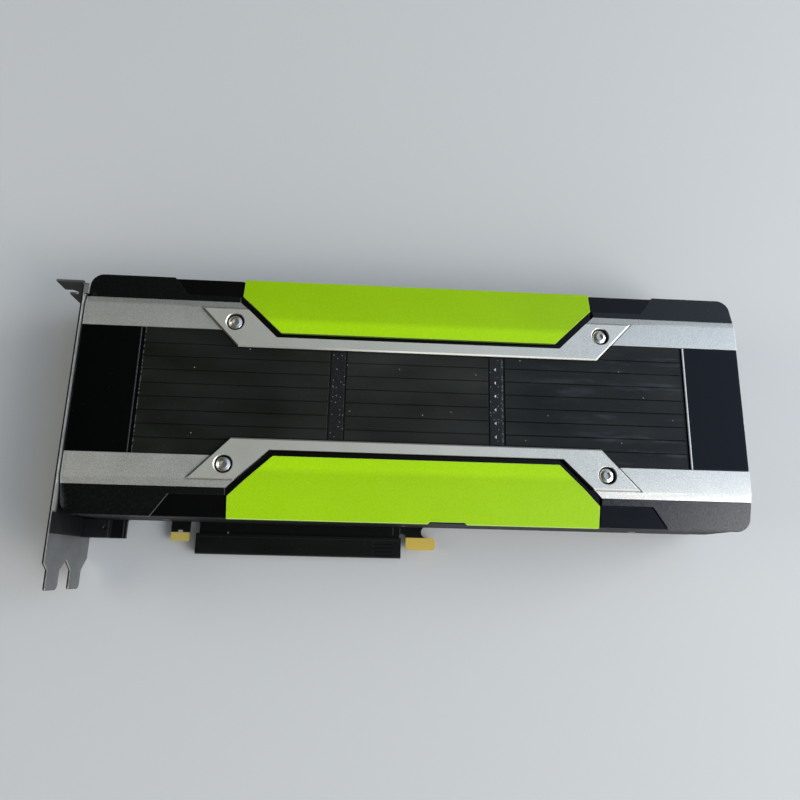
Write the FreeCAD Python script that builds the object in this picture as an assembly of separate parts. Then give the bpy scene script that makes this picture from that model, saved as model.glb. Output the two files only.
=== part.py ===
import FreeCAD, Part
import math
import os
from FreeCAD import Vector

# Passive accelerator card, two slots wide, full height. Millimetres.
# The model is laid out from the card's own datum: X from the inner face of the slot bracket
# towards the tail, Y from the cover's centre line (the edge connector is on the -Y side),
# Z up from the bracket's rear edge, on which the card lies, to the decorated cover.
# finish_part() then moves everything so that the origin is under the middle of the whole card.

# Slot bracket
bracket_width = 38.74
bracket_length = 120.02
bracket_sheet = 0.86
flange_depth = 11.43
flange_level = 43.5
bend_radius = 1.2
slot_pitch = 20.32
tongue_width = 10.19
tongue_middle = 9.9
tongue_length = 7.3
tongue_shoulder = 4.9
tongue_corner = 2.2
notch_width = 4.42
notch_depth = 4.4
notch_middle = 7.5
ear_reach = 1.7
ear_height = 4.6
vent_width = 3.0
vent_length = 8.2
vent_pitch = 5.0
vent_low = 16.2
vent_row_gap = 2.2
vent_margin = 6.5

# Circuit board
board_front = 1.2
board_tail_reach = 0.4
board_top_reach = 1.9
board_edge_inset = 0.4
board_level = 2.4
board_thickness = 1.57
corner_radius_board = 1.5
foot_end = 16.0
foot_depth = 8.0
tab_start = 34.4
tab_end = 42.1
tab_depth = 8.5
tongue_start = 46.1
connector_length = 83.8
connector_depth = 12.65
key_position = 12.15
key_width = 1.9
key_depth = 7.0
hook_slot = 2.75
hook_slot_depth = 3.2
hook_neck = 6.6
hook_drop = 4.75
hook_toe_length = 12.6
hook_toe_depth = 5.1
notch_round = 2.3

# Edge contacts and their dust cap
contact_pitch = 1.0
contact_width = 0.7
contact_length = 5.4
contact_thickness = 0.05
contact_inset = 0.6
cap_mouth = 5.05
cap_depth = 8.45
cap_thickness = 5.2
cap_end_wall = 1.0
cap_tail_wall = 0.6
cap_slot_gap = 0.12
cap_rim = 1.3
cap_rim_step = 0.35
cap_corner = 0.8
cap_rib_count = 4
cap_rib_pitch = 1.6
cap_rib_depth = 0.3
cap_rib_length = 8.2
cap_rib_setback = 3.3

# Bracket anchor
anchor_length = 10.1
anchor_height = 4.1
anchor_dimple = 1.5
anchor_dimple_depth = 0.5

# Backplate
backplate_sheet = 1.0
backplate_front = 3.0
backplate_inset = 1.6
backplate_rim = 1.2
backplate_corner = 4.0
boss_radius = 3.2

# Cover: outer form
cover_front = 0.6
cover_length = 266.2
cover_half_width = 48.5
cover_corner = 4.6
deck_level = 37.6
crease_inset = 14.1
shoulder_slope = 0.28
trim_thickness = 1.2
cover_wall = 1.8
reveal = 0.15

# Cover: trim
strip_inset = 10.8
strip_width = 12.3
end_plate_length = 23.4
end_plate_tail_length = 23.3
end_joint = 1.3
panel_drop = 0.5
groove_count = 8
groove_pitch = 5.45
groove_width = 0.6
groove_depth = 0.45
seam_front = 98.2
seam_rear = 161.8
seam_width = 7.0
seam_depth = 0.6
seam_gap = 0.8
seam_thickness = 0.5
rail_height = 0.8
rail_setback = 7.0
rail_width = 4.3
rail_bevel = 0.55
rail_gap = 0.45
rail_gap_depth = 0.5
rail_tip_front = 46.15
rail_foot_front = 61.6
rail_tip_tail = 44.7
rail_foot_tail = 59.65
pocket_front = 60.85
pocket_tail = 59.65
pocket_lean_front = 1.06
pocket_lean_tail = 1.02
pocket_sink = 0.6
panel_gap = 2.25
panel_gap_slant = 2.6
panel_gap_end = 0.8
panel_proud = 0.5
panel_wrap = 2.0
panel_round = 0.5
panel_notch_front = 140.1
panel_notch_length = 13.5
panel_notch_depth = 0.9
cap_proud = 0.3
cap_wrap = 1.6
ledge_width = 2.5
cap_slant = 6.8
cap_reach_front = 32.9
cap_reach_tail = 32.5

# Rail screws
screw_setback = 13.65
screw_setback_tail = 13.0
screw_inset = 3.3
rail_screw_head = 6.0
rail_screw_height = 1.6
rail_screw_rim = 0.5
rail_screw_crown = 3.0
rail_screw_socket = 2.5
rail_screw_socket_depth = 1.1
rail_screw_shank = 2.5
rail_screw_length = 3.4
screw_well = 6.9
screw_well_bevel = 0.3
screw_boss = 6.0
screw_boss_height = 2.0

# Base plate
base_front = 2.4
base_tail_setback = 6.6
rim_height = 1.93
rim_width = 3.4
base_skin = 2.1
seat_gap = 0.1
front_boss_length = 9.0
front_boss_width = 10.0
front_boss_height = 6.0
front_boss_inset = 13.5
tail_boss_length = 10.2
tail_boss_width = 7.0
tail_boss_height = 7.0
tail_boss_inset = 9.3
tail_thread = 2.5
tail_thread_depth = 8.0
tail_window_width = 64.0
tail_window_length = 19.2
side_lug_width = 8.0
side_lug_thickness = 3.2
side_lug_height = 4.4
side_lug_count = 3
side_lug_margin = 31.6
gpu_window_gap = 0.4
power_window_front = 166.0
power_window_length = 48.0
power_window_width = 74.0

# Heatsink
sink_front = 12.0
sink_tail_gap = 3.0
sink_side_gap = 7.1
sink_base_thickness = 3.0
pedestal = 34.0
fin_height = 21.2
fin_thickness = 0.45
fin_pitch = 2.05
fin_web = 0.6

# Electronics
gpu_place = 116.0
gpu_screw_gap = 2.0
gpu_substrate_thickness = 1.3
die_size = 24.0
die_thickness = 0.75
paste_gap = 0.05
memory_length = 14.0
memory_width = 12.0
memory_height = 1.2
memory_inset = 0.5
memory_row_pitch = 16.5
memory_row_count = 4
memory_column_shift = 2.1
memory_column_pitch = 15.0
memory_column_count = 2
stage_size = 5.0
stage_height = 0.8
inductor_length = 9.0
inductor_width = 6.6
inductor_height = 3.7
power_pitch = 9.2
power_count = 8
capacitor_radius = 3.15
capacitor_height = 5.8
capacitor_count = 4
capacitor_pitch = 7.6
capacitor_line = -13.0
capacitor_groove = 0.5
ceramic_length = 3.2
ceramic_width = 1.6
ceramic_height = 1.4

# Power socket
socket_line = 19.0
socket_cell = 3.6
socket_pitch = 4.2
socket_columns = 4
socket_rows = 2
socket_wall = 1.1
socket_depth = 14.0
socket_bore = 9.6
socket_setback = 13.0
latch_width = 5.0
latch_height = 1.3
pin_size = 1.1
pin_length = 7.5

# Fasteners
bracket_screw_shank = 2.5
bracket_screw_head = 4.6
bracket_screw_head_height = 1.3
bracket_screw_length = 6.0
side_screw_shank = 1.9
side_screw_head = 3.4
side_screw_length = 4.6
plate_screw_shank = 2.4
plate_screw_head = 4.4
plate_screw_length = 6.2
plate_screw_inset = 5.5
plate_screw_count = 5
plate_screw_margin = 12.0
sprung_screw_inset = 4.4
sprung_screw_shank = 2.4
sprung_screw_head = 5.0
sprung_screw_head_height = 1.0
sprung_screw_bite = 2.0
spring_thickness = 0.4
sprung_window = 7.0
screw_gap = 0.03
drive_size = 1.6
drive_depth = 0.6

# Levels and ends that follow from the sizes above
board_top_edge = cover_half_width + board_top_reach
board_edge = board_edge_inset - cover_half_width
board_face = board_level + board_thickness
rim_level = board_face + rim_height
base_level = rim_level + base_skin
sink_level = base_level + sink_base_thickness
seat_level = deck_level - trim_thickness
ceiling = seat_level - cover_wall
cover_tail = cover_front + cover_length
base_tail = cover_tail - base_tail_setback
board_tail = base_tail + board_tail_reach
tail_window_front = base_tail - tail_window_length
socket_front = base_tail - socket_setback
cover_inner = cover_half_width - cover_wall
duct_half = cover_half_width - cover_corner
crease = cover_half_width - crease_inset
strip_outer = cover_half_width - strip_inset
strip_inner = strip_outer - strip_width
rail_inner = strip_inner - rail_setback
screw_line = strip_inner + screw_inset
panel_edge = cover_half_width + panel_proud
cap_edge = cover_half_width + cap_proud
front_boss_line = cover_half_width - front_boss_inset
tail_boss_line = cover_half_width - tail_boss_inset
plate_screw_line = cover_half_width - plate_screw_inset
sink_half_width = cover_half_width - sink_side_gap
sink_length = tail_window_front - sink_tail_gap - sink_front
memory_row = sink_half_width - memory_inset - memory_width / 2
memory_column = memory_row + memory_column_shift
memory_bound = memory_row - memory_width / 2
gpu_window = 2 * (memory_bound - gpu_window_gap)
sprung_screw_offset = memory_bound - sprung_screw_inset
gpu_size = 2 * (sprung_screw_offset - gpu_screw_gap)
contact_tip = board_edge - connector_depth
tongue_end = tongue_start + connector_length
through = 400.0
FRONT_END, TAIL_END = 1, -1


# ---------------------------------------------------------------- drawing helpers

def on_xy(first, second):
    """Point of an outline drawn on the plan."""
    return Vector(first, second, 0)


def on_yz(first, second):
    """Point of a section drawn across the card."""
    return Vector(0, first, second)


def on_xz(first, second):
    """Point of an outline drawn on the side view."""
    return Vector(first, 0, second)


def rounding(before, corner, after, radius):
    """Start, middle and end of the arc that rounds one corner of an outline."""
    to_before = before.sub(corner).normalize()
    to_after = after.sub(corner).normalize()
    half = to_before.getAngle(to_after) / 2
    bisector = to_before.add(to_after).normalize()
    reach = radius / math.tan(half)
    start = corner.add(Vector(to_before).multiply(reach))
    end = corner.add(Vector(to_after).multiply(reach))
    middle = corner.add(bisector.multiply(radius / math.sin(half) - radius))
    return start, middle, end


def outline(points, plane):
    """Face inside a closed outline. A third number at a point rounds that corner."""
    corners = [plane(point[0], point[1]) for point in points]
    arcs = []
    for place, point in enumerate(points):
        corner = corners[place]
        if len(point) == 3:
            after = corners[(place + 1) % len(corners)]
            arcs.append(rounding(corners[place - 1], corner, after, point[2]))
        else:
            arcs.append((corner, None, corner))
    edges = []
    for place, (start, middle, end) in enumerate(arcs):
        if middle is not None:
            edges.append(Part.Arc(start, middle, end).toShape())
        following = arcs[(place + 1) % len(arcs)][0]
        if end.distanceToPoint(following) > 1e-6:
            edges.append(Part.makeLine(end, following))
    return Part.Face(Part.Wire(edges))


def plate(points, bottom, top):
    """Plan outline raised from one level to another."""
    face = outline(points, on_xy)
    face.translate(Vector(0, 0, bottom))
    return face.extrude(Vector(0, 0, top - bottom))


def along_x(points, start, end):
    """Section across the card, drawn out along it."""
    face = outline(points, on_yz)
    face.translate(Vector(start, 0, 0))
    return face.extrude(Vector(end - start, 0, 0))


def along_y(points, start, end):
    """Side view outline, drawn out across the card."""
    face = outline(points, on_xz)
    face.translate(Vector(0, start, 0))
    return face.extrude(Vector(0, end - start, 0))


def rectangle(left, right, low, high, radius=0.0):
    """Four corners of a rectangle, rounded if a radius is given."""
    corners = [(left, low), (right, low), (right, high), (left, high)]
    if radius > 0:
        return [corner + (radius,) for corner in corners]
    return corners


def block(left, right, low, high, bottom, top, radius=0.0):
    """Upright block, with its upright corners rounded if a radius is given."""
    return plate(rectangle(left, right, low, high, radius), bottom, top)


def upright(x, y, bottom, top, diameter):
    """Upright cylinder."""
    return Part.makeCylinder(diameter / 2, top - bottom, Vector(x, y, bottom))


def lengthwise(x, y, z, length, diameter):
    """Cylinder along X."""
    return Part.makeCylinder(diameter / 2, length, Vector(x, y, z), Vector(1, 0, 0))


def cut_all(shape, tools):
    """Take every tool out of a shape."""
    return shape.cut(Part.makeCompound(tools)).removeSplitter() if tools else shape


def join_all(shape, pieces):
    """One solid out of a shape and the pieces that grow from it."""
    return shape.fuse(pieces).removeSplitter()


def group(pieces):
    """Separate solids that share one node."""
    solids = []
    for piece in pieces:
        solids.extend(piece.Solids)
    return Part.makeCompound(solids)


def mirrored(shape):
    """The same piece on the other side of the cover's centre line."""
    return shape.mirror(Vector(0, 0, 0), Vector(0, 1, 0))


def spread(count, pitch):
    """Places of equally spaced things, centred on zero."""
    return [(place - (count - 1) / 2) * pitch for place in range(count)]


# ---------------------------------------------------------------- slot bracket

def bracket_sheet_form():
    """Bent sheet: flange and flat, as wide as the whole bracket."""
    tip = flange_level - bracket_length
    inner_radius = bend_radius - bracket_sheet
    section = [
        (-flange_depth, flange_level),
        (0, flange_level, bend_radius),
        (0, tip),
        (-bracket_sheet, tip),
        (-bracket_sheet, flange_level - bracket_sheet, inner_radius),
        (-flange_depth, flange_level - bracket_sheet),
    ]
    return plate(section, 0, bracket_width)


def bracket_front_view():
    """Front view outline of the bracket with its two tongues, drawn out through the sheet."""
    tip = flange_level - bracket_length
    neck = tip + tongue_length
    shoulder = neck + tongue_shoulder
    low = tongue_middle - tongue_width / 2
    high = tongue_middle + tongue_width / 2
    upper_low = low + slot_pitch
    upper_high = high + slot_pitch
    fork = (high + upper_low) / 2
    points = [
        (flange_level + bracket_sheet, 0),
        (shoulder, 0),
        (neck, low),
        (tip, low, tongue_corner),
        (tip, high, tongue_corner / 2),
        (neck, high),
        (shoulder - bracket_sheet, fork, bracket_sheet / 2),
        (neck, upper_low),
        (tip, upper_low, tongue_corner),
        (tip, upper_high, tongue_corner / 2),
        (neck, upper_high),
        (neck + tongue_shoulder / 2, bracket_width),
        (flange_level + bracket_sheet, bracket_width),
    ]
    return along_x(points, -2 * flange_depth, flange_depth)


def screw_notches():
    """Two open notches in the flange for the chassis screws."""
    notches = []
    for level in (notch_middle, notch_middle + slot_pitch):
        low = level - notch_width / 2
        high = level + notch_width / 2
        inner = -flange_depth + notch_depth
        points = [
            (-flange_depth - notch_depth, low),
            (inner, low, notch_width / 2 - screw_gap),
            (inner, high, notch_width / 2 - screw_gap),
            (-flange_depth - notch_depth, high),
        ]
        notches.append(along_y(points, flange_level - bend_radius, flange_level + bend_radius))
    return notches


def bracket_vents():
    """Two rows of upright exhaust slots through the flat of the bracket."""
    span = 2 * (flange_level - vent_margin)
    count = int(span / vent_pitch)
    vents = []
    for row in range(2):
        low = vent_low + row * (vent_length + vent_row_gap)
        high = low + vent_length
        for place in spread(count, vent_pitch):
            sides = (place - vent_width / 2, place + vent_width / 2)
            points = rectangle(sides[0], sides[1], low, high, vent_width / 2 - screw_gap)
            vents.append(along_x(points, -2 * bracket_sheet, bracket_sheet))
    return vents


def bracket_screw_places():
    """Y and Z of the screws through the bracket, and the X where each one's thread ends."""
    height = base_level + front_boss_height / 2
    foot = board_face + anchor_height / 2
    foot_line = board_edge - foot_depth / 2
    return [(front_boss_line, height), (-front_boss_line, height), (foot_line, foot)]


def slot_bracket():
    """Steel bracket that fixes the card to the chassis."""
    sheet = bracket_sheet_form().common(bracket_front_view())
    top = bracket_width
    ear_low = flange_level - bracket_sheet - ear_height
    ear = block(-bracket_sheet, ear_reach, ear_low, flange_level - bend_radius, top - bracket_sheet, top)
    holes = [lengthwise(-flange_depth / 2, y, z, flange_depth, bracket_screw_shank + 2 * screw_gap)
             for y, z in bracket_screw_places()]
    whole = join_all(sheet, [ear])
    return cut_all(whole, screw_notches() + bracket_vents() + holes)


def bracket_screws():
    """Pan head screws that hold the bracket to the base plate and the anchor."""
    screws = []
    for y, z in bracket_screw_places():
        shank = lengthwise(-bracket_sheet, y, z, bracket_screw_length, bracket_screw_shank)
        start = -bracket_sheet - bracket_screw_head_height
        head = lengthwise(start, y, z, bracket_screw_head_height, bracket_screw_head)
        drive = lengthwise(start, y, z, drive_depth, drive_size)
        screws.append(head.fuse(shank).cut(drive))
    return group(screws)


def bracket_anchor():
    """Block on the board's foot that takes the bracket's lowest screw, dimpled on its top."""
    low = board_edge - foot_depth
    high = -cover_half_width - seat_gap
    top = board_face + anchor_height
    body = block(0, anchor_length, low, high, board_face, top)
    y, z = bracket_screw_places()[2]
    thread = lengthwise(0, y, z, bracket_screw_length, bracket_screw_shank + 2 * screw_gap)
    dimple = upright(anchor_length - anchor_dimple, y, top - anchor_dimple_depth, top + 1,
                     anchor_dimple)
    return cut_all(body, [thread, dimple])


# ---------------------------------------------------------------- circuit board

def board_outline():
    """Plan of the board with its foot, tab, connector tongue and hook."""
    foot_low = board_edge - foot_depth
    tab_low = board_edge - tab_depth
    hook_left = tongue_end + hook_slot
    toe_high = board_edge - hook_drop
    toe_low = toe_high - hook_toe_depth
    return [
        (board_front, board_top_edge, corner_radius_board),
        (board_front, foot_low),
        (foot_end, foot_low),
        (foot_end, board_edge, corner_radius_board),
        (tab_start, board_edge),
        (tab_start, tab_low),
        (tab_end, tab_low),
        (tab_end, board_edge, notch_round / 2),
        (tongue_start, board_edge, notch_round / 2),
        (tongue_start, contact_tip, key_width / 2),
        (tongue_end, contact_tip, key_width / 2),
        (tongue_end, board_edge - hook_slot_depth, hook_slot / 2 - screw_gap),
        (hook_left, board_edge - hook_slot_depth, hook_slot / 2 - screw_gap),
        (hook_left, toe_low, corner_radius_board),
        (hook_left + hook_toe_length, toe_low, corner_radius_board),
        (hook_left + hook_toe_length, toe_high, corner_radius_board),
        (hook_left + hook_neck, toe_high, notch_round),
        (hook_left + hook_neck, board_edge, notch_round),
        (board_tail, board_edge, corner_radius_board),
        (board_tail, board_top_edge, corner_radius_board),
    ]


def plate_screw_places():
    """Plan places of the screws that clamp backplate, board and base plate together."""
    span = board_tail - board_front - 2 * plate_screw_margin
    places = []
    for step in range(plate_screw_count):
        x = board_front + plate_screw_margin + step * span / (plate_screw_count - 1)
        places.append((x, plate_screw_line))
        places.append((x, -plate_screw_line))
    return places


def sprung_screw_places():
    """Plan places of the four sprung screws round the processor."""
    ends = (-sprung_screw_offset, sprung_screw_offset)
    return [(gpu_place + x, y) for x in ends for y in ends]


def circuit_board():
    """Board with its connector key slot and screw holes."""
    board = plate(board_outline(), board_level, board_face)
    key_low = contact_tip - key_width
    key_start = tongue_start + key_position
    key = block(key_start, key_start + key_width, key_low, contact_tip + key_depth,
                board_level - 1, board_face + 1, key_width / 2 - screw_gap)
    holes = [upright(x, y, board_level - 1, board_face + 1, plate_screw_shank + 2 * screw_gap)
             for x, y in plate_screw_places()]
    holes += [upright(x, y, board_level - 1, board_face + 1, sprung_screw_shank + 2 * screw_gap)
              for x, y in sprung_screw_places()]
    return cut_all(board, [key] + holes)


def edge_contacts():
    """Gold plated contacts on both faces of the connector tongue, either side of the key."""
    contacts = []
    key_start = tongue_start + key_position
    low = contact_tip + contact_inset
    for start, end in ((tongue_start, key_start), (key_start + key_width, tongue_end)):
        count = int((end - start) / contact_pitch - contact_width / 2)
        for place in spread(count, contact_pitch):
            x = (start + end) / 2 + place
            for bottom in (board_face, board_level - contact_thickness):
                contacts.append(block(x - contact_width / 2, x + contact_width / 2, low,
                                      low + contact_length, bottom, bottom + contact_thickness))
    return group(contacts)


def connector_cap():
    """Moulded dust cap: a trough with a rim round its mouth, slid over the contacts."""
    middle = board_level + board_thickness / 2
    bottom = middle - cap_thickness / 2
    top = middle + cap_thickness / 2
    left = tongue_start - cap_end_wall
    right = tongue_end + cap_slot_gap + cap_tail_wall
    mouth = board_edge - cap_mouth
    low = mouth - cap_depth
    inner = cap_rim_step
    section = [
        (low, bottom + inner, cap_corner),
        (mouth - cap_rim, bottom + inner),
        (mouth - cap_rim, bottom),
        (mouth, bottom),
        (mouth, top),
        (mouth - cap_rim, top),
        (mouth - cap_rim, top - inner),
        (low, top - inner, cap_corner),
    ]
    body = along_x(section, left, right)
    slot = block(tongue_start - cap_slot_gap, tongue_end + cap_slot_gap, contact_tip - cap_slot_gap,
                 mouth + 1, board_level - cap_slot_gap, board_face + cap_slot_gap)
    grip_end = right - cap_rib_setback
    grip_line = (low + mouth - cap_rim) / 2
    half_groove = cap_rib_pitch / 6
    grooves = []
    for place in spread(cap_rib_count, cap_rib_pitch):
        y = grip_line + place
        for level in (top - inner - cap_rib_depth, bottom + inner - cap_rib_depth):
            grooves.append(block(grip_end - cap_rib_length, grip_end, y - half_groove, y + half_groove,
                                 level, level + 2 * cap_rib_depth))
    return cut_all(body, [slot] + grooves)


# ---------------------------------------------------------------- backplate

def backplate():
    """Stamped tray on the rear of the board, with a turned-up rim and screw bosses."""
    left = backplate_front
    right = board_tail - backplate_inset
    low = board_edge + backplate_inset
    high = board_top_edge - backplate_inset
    outer = block(left, right, low, high, 0, board_level, backplate_corner)
    inside = block(left + backplate_rim, right - backplate_rim, low + backplate_rim,
                   high - backplate_rim, backplate_sheet, board_level + 1,
                   backplate_corner - backplate_rim)
    tray = outer.cut(inside)
    bosses = [upright(x, y, backplate_sheet / 2, board_level, 2 * boss_radius)
              for x, y in plate_screw_places()]
    tray = join_all(tray, bosses)
    sinks = [countersunk(x, y, 0, screw_gap) for x, y in plate_screw_places()]
    windows = [upright(x, y, -1, board_level + 1, sprung_window) for x, y in sprung_screw_places()]
    return cut_all(tray, sinks + windows)


def countersunk(x, y, level, gap):
    """Flat head screw form pointing up, or its hole when a gap is given."""
    head = plate_screw_head / 2 + gap
    shank = plate_screw_shank / 2 + gap
    depth = head - shank
    end = plate_screw_length + gap
    half = [(0, level), (head, level), (shank, level + depth), (shank, level + end), (0, level + end)]
    face = outline(half, on_xz)
    face.translate(Vector(x, y, 0))
    return face.revolve(Vector(x, y, 0), Vector(0, 0, 1), 360)


def backplate_screws():
    """Flat head screws, flush with the backplate."""
    screws = []
    for x, y in plate_screw_places():
        drive = upright(x, y, -1, drive_depth, drive_size)
        screws.append(countersunk(x, y, 0, 0).cut(drive))
    return group(screws)


# ---------------------------------------------------------------- electronics

def centred_block(x, y, length, width, bottom, height):
    """Block about a plan place."""
    return block(x - length / 2, x + length / 2, y - width / 2, y + width / 2, bottom, bottom + height)


def gpu_substrate():
    """Package substrate soldered to the board."""
    return centred_block(gpu_place, 0, gpu_size, gpu_size, board_face, gpu_substrate_thickness)


def gpu_die():
    """Bare die on the substrate."""
    level = board_face + gpu_substrate_thickness
    return centred_block(gpu_place, 0, die_size, die_size, level, die_thickness)


def memory_places():
    """Plan places and turns of the memory chips round the processor."""
    places = []
    for x in spread(memory_row_count, memory_row_pitch):
        places.append((gpu_place + x, memory_row, memory_length, memory_width))
        places.append((gpu_place + x, -memory_row, memory_length, memory_width))
    for y in spread(memory_column_count, memory_column_pitch):
        places.append((gpu_place - memory_column, y, memory_width, memory_length))
        places.append((gpu_place + memory_column, y, memory_width, memory_length))
    return places


def memory_chips():
    """Memory packages."""
    return group([centred_block(x, y, length, width, board_face, memory_height)
                  for x, y, length, width in memory_places()])


def memory_pads():
    """Thermal pads that fill the space between each memory chip and the base plate."""
    level = board_face + memory_height
    shrink = memory_height
    return group([centred_block(x, y, length - shrink, width - shrink, level, rim_level - level)
                  for x, y, length, width in memory_places()])


def power_rows():
    """Y places of the voltage regulator's phases."""
    return spread(power_count, power_pitch)


def power_stages():
    """Square power packages, one to a phase."""
    x = power_window_front + stage_size
    return group([centred_block(x, y, stage_size, stage_size, board_face, stage_height)
                  for y in power_rows()])


def power_stage_pads():
    """Thermal pads between the power stages and the heatsink."""
    x = power_window_front + stage_size
    level = board_face + stage_height
    return group([centred_block(x, y, stage_size, stage_size, level, base_level - level)
                  for y in power_rows()])


def inductors():
    """Moulded inductors, one to a phase."""
    x = power_window_front + 2 * stage_size + inductor_length / 2
    return group([centred_block(x, y, inductor_length, inductor_width, board_face, inductor_height)
                  for y in power_rows()])


def ceramic_capacitors():
    """Output ceramics between the inductors and the edge of their window."""
    x = power_window_front + 2 * stage_size + inductor_length + ceramic_length
    return group([centred_block(x, y, ceramic_length, ceramic_width, board_face, ceramic_height)
                  for y in power_rows()])


def input_capacitors():
    """Polymer cans at the open tail, with the rolled groove of such cans."""
    x = tail_window_front + socket_depth / 2
    top = board_face + capacitor_height
    waist = board_face + capacitor_height / 4
    half = [
        (0, board_face),
        (capacitor_radius, board_face),
        (capacitor_radius, waist - capacitor_groove),
        (capacitor_radius - capacitor_groove, waist),
        (capacitor_radius, waist + capacitor_groove),
        (capacitor_radius, top),
        (0, top),
    ]
    cans = []
    for y in spread(capacitor_count, capacitor_pitch):
        can = outline(half, on_xz).revolve(Vector(0, 0, 0), Vector(0, 0, 1), 360)
        can.translate(Vector(x, capacitor_line + y, 0))
        cans.append(can)
    return group(cans)


def socket_cells():
    """Y and Z middles of the power socket's cells."""
    base = board_face + socket_wall + socket_cell / 2
    columns = [socket_line + y for y in spread(socket_columns, socket_pitch)]
    return [(y, base + row * socket_pitch) for row in range(socket_rows) for y in columns]


def power_connector():
    """Eight-way power socket that opens towards the tail, with its latch ramp on top."""
    half = (socket_columns - 1) * socket_pitch / 2 + socket_cell / 2 + socket_wall
    top = board_face + 2 * socket_wall + socket_cell + (socket_rows - 1) * socket_pitch
    back = socket_front
    mouth = socket_front + socket_depth
    body = block(back, mouth, socket_line - half, socket_line + half, board_face, top)
    ramp = [
        (mouth, top),
        (mouth - socket_depth / 3, top),
        (mouth - socket_depth / 3, top + latch_height),
        (mouth - socket_depth / 4, top + latch_height),
    ]
    latch = along_y(ramp, socket_line - latch_width / 2, socket_line + latch_width / 2)
    side = socket_cell / 2
    cells = [along_x(rectangle(y - side, y + side, z - side, z + side, side / 4),
                     mouth - socket_bore, mouth + 1) for y, z in socket_cells()]
    return cut_all(join_all(body, [latch]), cells)


def power_pins():
    """Square pins standing in the socket's cells."""
    start = socket_front + socket_depth - socket_bore
    side = pin_size / 2
    return group([along_x(rectangle(y - side, y + side, z - side, z + side), start, start + pin_length)
                  for y, z in socket_cells()])


# ---------------------------------------------------------------- base plate and heatsink

def side_lug_places():
    """X places of the lugs that the cover's side screws enter."""
    first = base_front + side_lug_margin
    pitch = (base_tail - side_lug_margin - first) / (side_lug_count - 1)
    return [first + place * pitch for place in range(side_lug_count)]


def base_windows():
    """Openings of the base plate over the processor, the regulator and the tail."""
    half_gpu = gpu_window / 2
    half_power = power_window_width / 2
    half_tail = tail_window_width / 2
    low = board_face - 1
    high = base_level + 1
    power_end = power_window_front + power_window_length
    corner = rim_width / 2
    return [
        block(gpu_place - half_gpu, gpu_place + half_gpu, -half_gpu, half_gpu, low, high, corner),
        block(power_window_front, power_end, -half_power, half_power, low, high, corner),
        block(tail_window_front, base_tail + 1, -half_tail, half_tail, low, high),
    ]


def base_bosses():
    """Tapped bosses at both ends and lugs along both sides of the base plate."""
    bosses = []
    for side in (1, -1):
        y = side * front_boss_line
        bosses.append(block(0, front_boss_length, y - front_boss_width / 2, y + front_boss_width / 2,
                            rim_level, base_level + front_boss_height))
        y = side * tail_boss_line
        bosses.append(block(base_tail - tail_boss_length, base_tail, y - tail_boss_width / 2,
                            y + tail_boss_width / 2, rim_level, base_level + tail_boss_height))
        outer = side * (cover_inner - seat_gap)
        inner = outer - side * side_lug_thickness
        for x in side_lug_places():
            bosses.append(block(x - side_lug_width / 2, x + side_lug_width / 2, min(outer, inner),
                                max(outer, inner), rim_level, base_level + side_lug_height))
    return bosses


def tail_screw_places():
    """Y and Z of the tapped holes that a tail retainer is screwed to."""
    height = base_level + tail_boss_height / 2
    return [(tail_boss_line, height), (-tail_boss_line, height)]


def side_screw(x, side, gap):
    """Flat head screw form into the cover's side, or its hole when a gap is given."""
    level = base_level + side_lug_height / 2
    head = side_screw_head / 2 + gap
    shank = side_screw_shank / 2 + gap
    end = side_screw_length + gap
    half = [(0, 0), (head, 0), (shank, head - shank), (shank, end), (0, end)]
    face = outline(half, on_xy)
    form = face.revolve(Vector(0, 0, 0), Vector(0, 1, 0), 360)
    form.translate(Vector(x, -cover_half_width, level))
    return form if side < 0 else mirrored(form)


def side_screws():
    """Screws through the cover's side walls into the base plate's lugs."""
    screws = []
    for x in side_lug_places():
        for side in (1, -1):
            drive = Part.makeCylinder(drive_size / 2, drive_depth,
                                      Vector(x, -cover_half_width, base_level + side_lug_height / 2),
                                      Vector(0, 1, 0))
            drive = drive if side < 0 else mirrored(drive)
            screws.append(side_screw(x, side, 0).cut(drive))
    return group(screws)


def base_plate():
    """Cast frame on the board: rim, skin with windows, bosses and lugs."""
    half = cover_half_width
    rim = block(base_front, base_tail, -half, half, board_face, rim_level, cover_corner)
    hollow = block(base_front + rim_width, base_tail - rim_width, rim_width - half, half - rim_width,
                   board_face - 1, rim_level + 1, cover_corner - rim_width / 2)
    skin_half = cover_inner - seat_gap
    skin = block(base_front + rim_width / 2, base_tail, -skin_half, skin_half, rim_level, base_level,
                 cover_corner)
    casting = join_all(rim.cut(hollow), [skin] + base_bosses())
    threads = [lengthwise(0, y, z, bracket_screw_length, bracket_screw_shank + 2 * screw_gap)
               for y, z in bracket_screw_places()[:2]]
    threads += [lengthwise(base_tail - tail_thread_depth, y, z, tail_thread_depth, tail_thread)
                for y, z in tail_screw_places()]
    threads += [side_screw(x, side, screw_gap) for x in side_lug_places() for side in (1, -1)]
    threads += [countersunk(x, y, 0, screw_gap) for x, y in plate_screw_places()]
    return cut_all(casting, base_windows() + threads)


def heatsink_base():
    """Thick plate over the board, with a pedestal down to the die."""
    body = block(sink_front, sink_front + sink_length, -sink_half_width, sink_half_width,
                 base_level, sink_level)
    die_top = board_face + gpu_substrate_thickness + die_thickness + paste_gap
    foot = centred_block(gpu_place, 0, pedestal, pedestal, die_top, base_level - die_top)
    ears = []
    threads = []
    for x, y in sprung_screw_places():
        ears.append(upright(x, y, base_level - sprung_screw_bite, sink_level, sprung_window))
        threads.append(upright(x, y, 0, base_level + sprung_screw_bite + screw_gap,
                               sprung_screw_shank + 2 * screw_gap))
    return cut_all(join_all(body, [foot] + ears), threads)


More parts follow.
